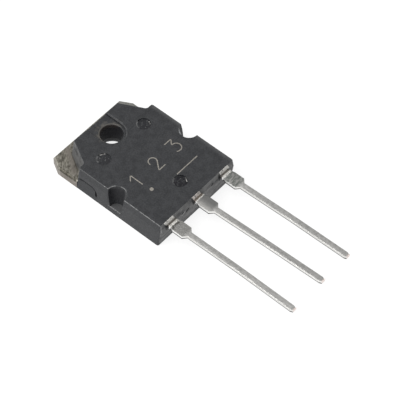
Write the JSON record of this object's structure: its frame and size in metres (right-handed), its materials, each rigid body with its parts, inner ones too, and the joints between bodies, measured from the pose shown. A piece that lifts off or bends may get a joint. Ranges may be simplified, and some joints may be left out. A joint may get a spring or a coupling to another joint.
{
  "type": "power transistor",
  "caption": "Power transistor: flat black moulded block with a bare metal mounting tab and screw hole at one end and straight flat leads at the other.",
  "frame": {"origin": "on the back plane, on the centre line, under the middle of the die; the mounting hole's axis is 6.0 mm away towards +Y", "axes": "+Z out of the front face, +Y from the leads towards the mounting hole, +X to the right when the front face is seen with the leads down"},
  "size_m": [0.0155, 0.0417, 0.0046],
  "materials": {
    "moulding": "matte, fine grain, worn light edges",
    "plated_copper": "dull plating, tinned leads",
    "solder": "dull",
    "silicon": "polished",
    "bond_wire": "bright"
  },
  "bodies": {
    "root": {"moulded_body": "moulding", "header_tab": "plated_copper", "base_lead": "plated_copper", "emitter_lead": "plated_copper", "die_solder": "solder", "silicon_die": "silicon", "base_wire": "bond_wire", "emitter_wires": "bond_wire"}
  },
  "joints": []
}
